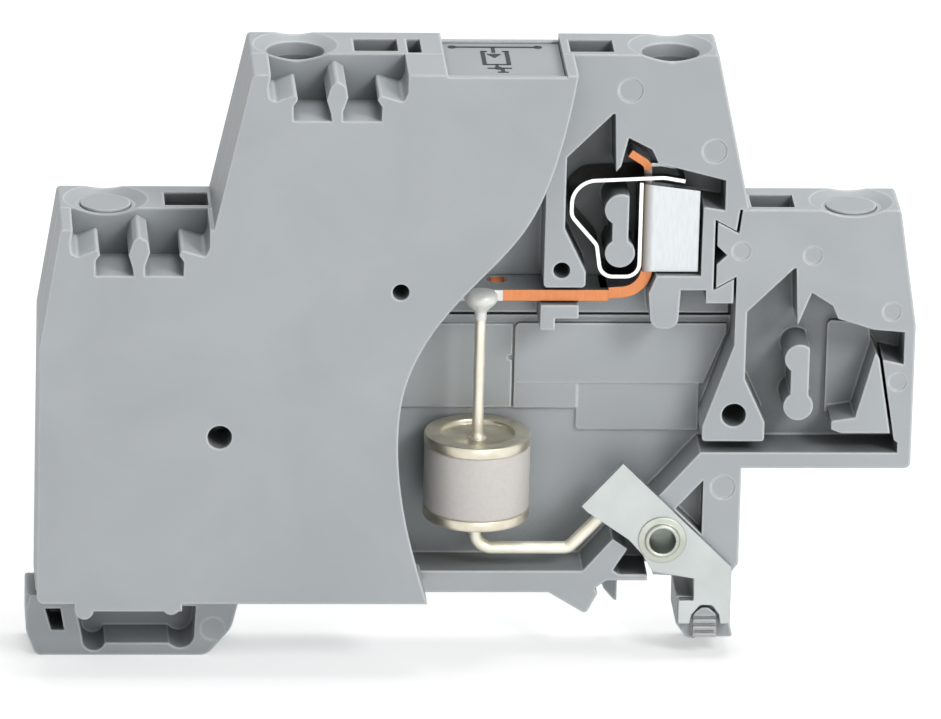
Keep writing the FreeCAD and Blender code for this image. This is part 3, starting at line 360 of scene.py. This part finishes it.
def barMaterial(name, look):
    # Electrolytic copper strip, tin plated and then punched: the plated faces are pale silver, and every
    # punched edge shows bare orange copper with the fine vertical lines of the shear.
    material, tree, shader = newMaterial(name)
    coordinates = addNode(tree, "TexCoord")
    place = coordinates.outputs["Object"]
    facing = addNode(tree, "SeparateXYZ", links={0: coordinates.outputs["Normal"]})
    position = addNode(tree, "SeparateXYZ", links={0: place})
    across = addNode(tree, "Math", links={0: facing.outputs["Y"]}, operation="ABSOLUTE").outputs[0]
    cutEdge = addNode(tree, "Math", {1: 0.7}, {0: across}, operation="GREATER_THAN").outputs[0]
    offset = addNode(tree, "Math", {1: look["middleX"] * mm}, {0: position.outputs["X"]}, operation="SUBTRACT")
    side = addNode(tree, "Math", links={0: offset.outputs[0]}, operation="ABSOLUTE").outputs[0]
    beyond = addNode(tree, "Math", {1: look["foldFrom"] * mm}, {0: side}, operation="GREATER_THAN").outputs[0]
    height = position.outputs["Z"]
    high = addNode(tree, "Math", {1: look["flapFoot"] * mm}, {0: height}, operation="GREATER_THAN").outputs[0]
    low = addNode(tree, "Math", {1: look["flapTop"] * mm}, {0: height}, operation="LESS_THAN").outputs[0]
    level = addNode(tree, "Math", links={0: high, 1: low}, operation="MULTIPLY").outputs[0]
    flap = addNode(tree, "Math", links={0: beyond, 1: level}, operation="MULTIPLY").outputs[0]
    outside = addNode(tree, "Math", {0: 1.0}, {1: flap}, operation="SUBTRACT").outputs[0]
    bare = addNode(tree, "Math", links={0: cutEdge, 1: outside}, operation="MULTIPLY").outputs[0]
    shear = addNode(tree, "Mapping", {"Scale": (1, 0.1, 0.15)}, {"Vector": place})
    streaks = addNode(tree, "TexNoise", {"Scale": perMm(0.14), "Detail": 4.0},
                      {"Vector": shear.outputs["Vector"]}).outputs["Fac"]
    copper = blend(tree, remap(tree, streaks, 0.3, 0.65), look["copperShade"], look["copper"])
    tin = blend(tree, remap(tree, streaks, 0.25, 0.6), look["tinShade"], look["tin"])
    # Painted shade and copper reflection on the tin next to the flap's fold.
    fading = remap(tree, side, look["foldFrom"] * mm, (look["foldFrom"] + look["foldWidth"]) * mm, 1.0, 0.0)
    foldShadeMask = addNode(tree, "Math", links={0: fading, 1: flap}, operation="MULTIPLY").outputs[0]
    tinWithFoldShade = blend(tree, foldShadeMask, tin, look["foldShadeReflection"])
    tree.links.new(blend(tree, bare, tinWithFoldShade, copper), shader.inputs["Base Color"])
    bump = addNode(tree, "Bump", {"Strength": 0.12, "Distance": 0.01 * mm},
                   {"Height": streaks, "Normal": roundedEdges(tree, look["edgeMm"])})
    tree.links.new(bump.outputs["Normal"], shader.inputs["Normal"])
    shader.inputs["Metallic"].default_value = 1.0
    shader.inputs["Roughness"].default_value = 0.42
    return material


barCopper = barMaterial("tin plated copper strip", bar)

tube = {"colour": "#D4D0CC", "shade": "#CFCBC7"}


def ceramicMaterial(name, look):
    # Alumina tube, fired and thinly glazed: warm off-white, soft sheen, hardly any specks.
    material, tree, shader = newMaterial(name)
    place = addNode(tree, "TexCoord").outputs["Object"]
    specks = addNode(tree, "TexNoise", {"Scale": perMm(0.3), "Detail": 3.0}, {"Vector": place}).outputs["Fac"]
    tree.links.new(blend(tree, remap(tree, specks, 0.3, 0.6), look["shade"], look["colour"]),
                   shader.inputs["Base Color"])
    bump = addNode(tree, "Bump", {"Strength": 0.06, "Distance": 0.02 * mm}, {"Height": specks})
    tree.links.new(bump.outputs["Normal"], shader.inputs["Normal"])
    shader.inputs["Roughness"].default_value = 0.42
    shader.inputs["IOR"].default_value = 1.6
    return material


ceramic = ceramicMaterial("glazed alumina ceramic", tube)

finishes = {
    "lower_housing": housingPlastic, "upper_deck": housingPlastic, "front_cover": coverPlastic,
    "latch_foot": latchPlastic, "label_plate": labelPlastic, "right_entry_plug": plugPlastic,
    "left_entry_plug": plugPlastic, "contact_foot": footSteel, "foot_rivet": rivetMetal,
    "current_bar": barCopper, "right_clamp_spring": springSteel, "left_clamp_spring": springSteel,
    "arrester_body": ceramic, "arrester_top_cap": tinnedCaps, "arrester_bottom_cap": tinnedCaps,
    "arrester_upper_lead": tinnedWire, "arrester_lower_lead": tinnedWire, "solder_joint": softSolder,
}
for nodeName, material in finishes.items():
    for slotOfNode in nodes[nodeName].material_slots:
        slotOfNode.material = material
print("materials on", len(finishes), "CAD nodes")

arrester = {
    "x": 1.31,               # mm, axis of the tube
    "radius": 3.95,
    "low": 5.19, "high": 11.76,
    "cap": 0.83,             # height of each cap
    "capStep": 0.03,         # the caps stand this far proud of the tube
    "recessRadius": 2.7, "recess": 0.48,
    "lip": 0.14,             # roll of the caps' edges
}


def arresterPieces(look):
    radius, lip, low, high = look["radius"], look["lip"], look["low"], look["high"]
    inner, dish = look["recessRadius"], high - look["recess"]
    seat, foot, outer = high - look["cap"], low + look["cap"], radius - look["capStep"]
    topCap = [(0, dish), (inner - 0.12, dish), (inner, dish + 0.1), (inner + 0.02, high - 0.16),
              (inner + 0.08, high - 0.05), (inner + 0.2, high - 0.01), (inner + 0.4, high - 0.02),
              (radius - 0.34, high - 0.02), (radius - 0.16, high), (radius - 0.05, high - 0.05),
              (radius, high - 0.16), (radius, seat + 0.1), (radius - 0.03, seat + 0.03),
              (radius - 0.12, seat), (0, seat)]
    bottomCap = [(0, low), (radius - 0.3, low), (radius - lip, low + 0.03), (radius - 0.03, low + lip),
                 (radius, low + 0.24), (radius, foot - 0.1), (radius - 0.03, foot - 0.03),
                 (radius - 0.12, foot), (0, foot)]
    body = [(0, foot), (outer - 0.14, foot), (outer - 0.12, foot + 0.04), (outer - 0.03, foot + 0.1),
            (outer, foot + 0.18), (outer, seat - 0.18), (outer - 0.03, seat - 0.1),
            (outer - 0.12, seat - 0.04), (outer - 0.14, seat), (0, seat)]
    for profile, name, material, slot, node in (
            (topCap, "arresterTopCap", tinnedCaps, "arrester_caps", "arrester_top_cap"),
            (bottomCap, "arresterBottomCap", tinnedCaps, "arrester_caps", "arrester_bottom_cap"),
            (body, "arresterTube", ceramic, "arrester_ceramic", "arrester_body")):
        finishPiece(turnedPiece(profile, (look["x"], 0, 0)), name, "housing", material, [node])


arresterPieces(arrester)

leads = {
    "upperRadius": 0.42, "upperTop": 22.76,         # mm
    "meniscus": 0.72,        # radius of the solder at the upper lead's foot
    "lowerRadius": 0.475, "lowerY": 0.475,
    "lowerPath": [(1.31, 5.19), (1.31, 2.44, 1.3), (8.30, 2.44, 0.9), (11.0, 5.30)],
}


def leadPieces(look):
    foot = arrester["high"] - arrester["recess"]
    radius, meniscus, top = look["upperRadius"], look["meniscus"], look["upperTop"]
    upper = [(0, foot), (meniscus, foot), (meniscus - 0.1, foot + 0.06), (radius + 0.1, foot + 0.16),
             (radius + 0.02, foot + 0.34), (radius, foot + 0.6), (radius - 0.03, foot + 3.4),
             (radius, foot + 5.0), (radius - 0.02, foot + 7.6), (radius, top), (0, top)]
    finishPiece(turnedPiece(upper, (arrester["x"], 0, 0), steps=40), "arresterUpperLead", "housing",
                tinnedWire, ["arrester_upper_lead"])
    radius, middleY = look["lowerRadius"], look["lowerY"]
    angles = [math.radians(15 * k) for k in range(24)]
    section = [(radius * math.cos(angle), middleY + radius * math.sin(angle)) for angle in angles]
    finishPiece(sweptPiece(bmesh.new(), section, look["lowerPath"], bendSteps=14), "arresterLowerLead",
                "housing", tinnedWire, ["arrester_lower_lead"])


leadPieces(leads)

solder = {
    "profile": [(0, 20.54), (0.44, 20.54), (0.45, 21.05), (0.5, 21.2), (0.65, 21.4), (0.95, 21.68),
                (1.15, 21.9), (1.24, 22.08), (1.25, 22.25), (1.2, 22.45), (1.02, 22.66), (0.75, 22.78),
                (0.5, 22.82), (0, 22.82)],                # mm
    "barFront": 0.45,        # the joint is cut flat against the bar's front edge
    "film": ((-1.6, 0.38, 21.81), (2.95, 0.5, 22.66)),    # solder that has wetted the front edge
    "filmBevel": 0.05,
}
bm = turnedPiece(solder["profile"], (arrester["x"], 0, 0), steps=64)
bmesh.ops.bisect_plane(bm, geom=list(bm.verts) + list(bm.edges) + list(bm.faces),
                       plane_co=(0, solder["barFront"] * mm, 0), plane_no=(0, 1, 0), clear_outer=True)
bmesh.ops.holes_fill(bm, edges=[edge for edge in bm.edges if edge.is_boundary])
finishPiece(bm, "solderJoint", "housing", softSolder, ["solder_joint"])
bm = bmesh.new()
addBox(bm, *solder["film"], solder["filmBevel"])
finishPiece(bm, "solderFilm", "housing", softSolder)
print("arrester, leads and solder")

rivet = {
    "at": (15.17, 0, 3.53),  # mm
    "profile": [(0.95, -1.08), (0.97, -1.18), (1.04, -1.24), (1.13, -1.25), (1.22, -1.22), (1.28, -1.14),
                (1.3, -1.02), (1.33, -0.96), (1.45, -0.94), (1.7, -0.95), (1.77, -0.93), (1.8, -0.88),
                (1.8, -0.8), (1.15, -0.8), (1.15, 4.1), (1.74, 4.1), (1.7, 4.24), (1.5, 4.42),
                (1.2, 4.53), (0.95, 4.55)],
}
finishPiece(turnedPiece(rivet["profile"], rivet["at"], "Y", steps=72, ring=True), "footRivet", "housing",
            rivetMetal, ["foot_rivet"])

clamp = {
    "thickness": 0.28, "front": 0.3, "width": 3.4,             # mm
    "windowLow": (13.03, 0.9), "windowHigh": (15.78, 3.35),    # opening that the wire goes through
    "windowAbove": 31.1, "windowCorner": 0.3,
    "path": [(16.13, 31.17), (14.58, 31.44, 2.0), (7.83, 31.12, 1.8), (7.83, 28.45, 1.07),
             (9.75, 26.22, 0.85), (10.10, 23.77, 1.0), (12.93, 23.77, 1.0), (12.93, 31.04)],
}


def springPiece(look, name, node, mirror):
    half, front, back = look["thickness"] / 2, look["front"], look["front"] + look["width"]
    section = [(half, front), (half, back), (-half, back), (-half, front)]
    bm = bmesh.new()
    sweptPiece(bm, section, look["path"], bendSteps=12)
    cutWindow(bm, look["windowLow"], look["windowHigh"], look["windowAbove"], look["windowCorner"])
    if mirror:
        middle = Matrix.Translation((-bar["middleX"] * mm, 0, 0))
        bmesh.ops.scale(bm, verts=bm.verts, vec=(-1, 1, 1), space=middle)
    finishPiece(bm, name, "housing", springSteel, [node])


springPiece(clamp, "rightClampSpring", "right_clamp_spring", False)
springPiece(clamp, "leftClampSpring", "left_clamp_spring", True)
print("rivet and clamp springs")

strip = {
    "thickness": 0.85, "front": 0.45, "width": 3.35,  # mm
    "setBack": 0.55,         # the bent ends stand this far behind the middle's front edge
    "backStep": 0.02,        # and this far before its back edge
    "overlap": 0.6,          # length that the ends and the middle share
    "tongueWidth": 2.0, "tongueThickness": 0.6,
    "end": [(10.75, 22.24, 1.5), (13.55, 22.45, 1.9), (13.55, 30.63)],
    "tongue": [(13.43, 30.5), (13.43, 32.2, 0.7), (12.1, 33.05)],
    "slotLow": (1.9, 2.1), "slotHigh": (3.4, 3.4), "slotCorner": 0.6,  # hole beside the solder joint
    "flapLow": (13.125, 24.11), "flapHigh": (17.275, 30.9), "flapDrop": 0.53, "flapThickness": 0.8,
}


def stripPiece(look):
    half, front, back = look["thickness"] / 2, look["front"], look["front"] + look["width"]
    middleX = bar["middleX"]
    bm = bmesh.new()

    def section(low, high, half=half):
        return [(half, low), (half, high), (-half, high), (-half, low)]

    startX, barZ = look["end"][0][:2]
    sweptPiece(bm, section(front, back), [(2 * middleX - startX, barZ), (startX, barZ)])
    cutWindow(bm, look["slotLow"], look["slotHigh"], 0, look["slotCorner"])
    side = (look["width"] - look["tongueWidth"]) / 2
    endPath = [(startX - look["overlap"], barZ)] + look["end"]
    for path in (endPath, mirrored(endPath, middleX)):
        sweptPiece(bm, section(front + look["setBack"], back - look["backStep"]), path, bendSteps=14)
    for path in (look["tongue"], mirrored(look["tongue"], middleX)):
        sweptPiece(bm, section(front + side, back - side, look["tongueThickness"] / 2), path)
    for sign in (1, -1):
        ends = [middleX + sign * (x - middleX) for x in (look["flapLow"][0], look["flapHigh"][0])]
        low = (min(ends), front, look["flapLow"][1])
        high = (max(ends), front + look["flapThickness"], look["flapHigh"][1])
        verts = addBox(bm, low, high)
        outer = [vert for vert in verts if abs(vert.co.x - ends[1] * mm) < 0.01 * mm
                 and abs(vert.co.z - high[2] * mm) < 0.01 * mm]
        bmesh.ops.translate(bm, verts=outer, vec=(0, 0, -look["flapDrop"] * mm))
    finishPiece(bm, "currentBar", "housing", barCopper, ["current_bar"])


stripPiece(strip)
print("current bar")

label = {"low": (-1.83, -4.53, 39.53), "high": (6.83, 4.53, 40.38), "bevel": 0.1}  # mm
bm = bmesh.new()
addBox(bm, label["low"], label["high"], label["bevel"])
finishPiece(bm, "labelPlate", "housing", labelPlastic, ["label_plate"])

symbol = {
    "top": 40.38,            # mm, face of the label plate
    "thickness": 0.03,
    "bars": [((-1.06, 3.45), (5.24, 3.7)), ((1.78, 2.3), (2.06, 3.6)), ((0.95, -0.6), (1.27, 2.6)),
             ((2.72, -0.6), (3.04, 2.6)), ((0.95, 2.45), (1.45, 2.65)), ((2.55, 2.45), (3.04, 2.65)),
             ((1.2, -0.62), (2.8, -0.42)), ((1.87, -1.4), (2.1, -0.5)), ((1.25, -1.5), (3.03, -1.28)),
             ((2.2, -2.2), (2.5, -1.4)), ((1.95, -2.4), (2.75, -2.2))],
    "dots": [(-1.06, 3.58), (5.24, 3.58), (2.05, -1.37)], "dotRadius": 0.32,
    "arrow": (1.92, 1.65), "arrowRadius": 0.62,
    "ink": "#15181A", "inkLight": "#24282A",
}


def symbolPiece(look):
    # Printing ink: dark grey, matt, a few hundredths of a millimetre thick.
    ink, tree, shader = newMaterial("dark printing ink")
    place = addNode(tree, "TexCoord").outputs["Object"]
    specks = addNode(tree, "TexNoise", {"Scale": perMm(0.2), "Detail": 2.0}, {"Vector": place}).outputs["Fac"]
    tree.links.new(blend(tree, specks, look["ink"], look["inkLight"]), shader.inputs["Base Color"])
    shader.inputs["Roughness"].default_value = 0.6
    thickness, dotRadius, arrowRadius = (look[key] * mm for key in ("thickness", "dotRadius", "arrowRadius"))
    low, high = look["top"], look["top"] + look["thickness"]
    middle = (low + high) / 2
    bm = bmesh.new()
    for first, last in look["bars"]:
        addBox(bm, (*first, low), (*last, high))
    for x, y in look["dots"]:
        bmesh.ops.create_cone(bm, cap_ends=True, segments=24, radius1=dotRadius, radius2=dotRadius,
                              depth=thickness, matrix=Matrix.Translation(Vector((x, y, middle)) * mm))
    turned = Matrix.Translation(Vector((*look["arrow"], middle)) * mm) @ Matrix.Rotation(math.pi, 4, "Z")
    bmesh.ops.create_cone(bm, cap_ends=True, segments=3, radius1=arrowRadius, radius2=arrowRadius,
                          depth=thickness, matrix=turned)
    finishPiece(bm, "labelSymbol", "housing", ink, smooth=False)


symbolPiece(symbol)
print("label symbol")

lap = {
    "side": ((18.2, 4.55, 19.4), (20.75, 4.85, 28.9)),    # mm, closes the sight line through the right dovetail
    "middle": ((-15.9, 4.55, 19.25), (18.2, 4.85, 19.8)),  # the same for the level joint between the decks
}
bm = bmesh.new()
addBox(bm, *lap["middle"])
(x0, y0, z0), (x1, y1, z1) = lap["side"]
addBox(bm, *lap["side"])
addBox(bm, (2 * bar["middleX"] - x1, y0, z0), (2 * bar["middleX"] - x0, y1, z1))
finishPiece(bm, "jointLap", "housing", housingPlastic, smooth=False)

studio = {
    "ambient": 0.22,                    # light from all round, on the part
    "floorGlow": 0.42, "farGlow": 1.0,  # glow of the floor under the part and far behind it
    "glowFrom": 0.15, "glowTo": 0.6,    # m from the part, where the first glow ends and the second starts
    "floor": "#F4F4F4", "floorSize": 3.0,  # m
    "lampAim": (1, 0, 18),              # mm, the middle of the part
}

floorZ = cadBox[0][2]
bm = bmesh.new()
bmesh.ops.create_grid(bm, x_segments=1, y_segments=1, size=studio["floorSize"] / 2)
bmesh.ops.translate(bm, verts=bm.verts, vec=(0, 0, floorZ))
floorMesh = bpy.data.meshes.new("floor")
bm.to_mesh(floorMesh)
bm.free()
floor = bpy.data.objects.new("floor", floorMesh)
bpy.context.scene.collection.objects.link(floor)

world = bpy.data.worlds.new("studio")
world.use_nodes = True
bpy.context.scene.world = world
worldTree = world.node_tree
background = worldTree.nodes["Background"]
strength = remap(worldTree, seenDirectly(worldTree), 0.0, 1.0, studio["ambient"], 1.0)
background.inputs["Color"].default_value = (1, 1, 1, 1)
worldTree.links.new(strength, background.inputs["Strength"])

# Painted board: the floor is white to the camera and still takes the part's shadow.
floorMaterial, floorTree, floorShader = newMaterial("pale studio floor")
floorShader.inputs["Base Color"].default_value = linear(studio["floor"])
floorShader.inputs["Roughness"].default_value = 0.9
floorPlace = addNode(floorTree, "TexCoord").outputs["Object"]
away = addNode(floorTree, "VectorMath", links={0: floorPlace}, operation="LENGTH").outputs["Value"]
glowHere = remap(floorTree, away, studio["glowFrom"], studio["glowTo"], studio["floorGlow"], studio["farGlow"])
glow = addNode(floorTree, "Math", links={0: seenDirectly(floorTree), 1: glowHere}, operation="MULTIPLY")
floorShader.inputs["Emission Color"].default_value = (1, 1, 1, 1)
floorTree.links.new(glow.outputs["Value"], floorShader.inputs["Emission Strength"])
floorMesh.materials.append(floorMaterial)

lamps = {  # places and sizes in mm
    "key": {"at": (320, -420, 380), "size": 180, "watts": 1.64},
    "front": {"at": (90, -600, 130), "size": 260, "watts": 0.6},
    "top": {"at": (60, 60, 520), "size": 300, "watts": 1.3},
}
for lampName, look in lamps.items():
    light = bpy.data.lights.new(lampName, "AREA")
    light.shape = "SQUARE"
    light.size = look["size"] * mm
    light.energy = look["watts"]
    lamp = bpy.data.objects.new(lampName, light)
    lamp.location = Vector(look["at"]) * mm
    aim = Vector(studio["lampAim"]) * mm - lamp.location
    lamp.rotation_euler = aim.to_track_quat("-Z", "Y").to_euler()
    bpy.context.scene.collection.objects.link(lamp)

view = {"elevation": 19.57, "turn": 4.0, "roll": 1.473, "distance": 800, "lens": 415.7,
        "target": (0.652, 0.0, 17.381)}  # degrees, mm
turn, elevation, roll = (math.radians(view[key]) for key in ("turn", "elevation", "roll"))
forward = Vector((math.sin(turn) * math.cos(elevation), math.cos(turn) * math.cos(elevation),
                  -math.sin(elevation)))
level = forward.cross(Vector((0, 0, 1))).normalized()
above = level.cross(forward)
right = level * math.cos(roll) + above * math.sin(roll)
up = above * math.cos(roll) - level * math.sin(roll)
camera = bpy.data.cameras.new("camera")
camera.lens = view["lens"]
camera.sensor_width = 36
camera.sensor_fit = "HORIZONTAL"
camera.clip_start = 0.01
cameraObject = bpy.data.objects.new("camera", camera)
pose = Matrix((right, up, -forward)).transposed().to_4x4()
pose.translation = (Vector(view["target"]) - forward * view["distance"]) * mm
cameraObject.matrix_world = pose
bpy.context.scene.collection.objects.link(cameraObject)
bpy.context.scene.camera = cameraObject
bpy.context.scene.view_settings.view_transform = "Standard"
print("floor, lamps and camera")
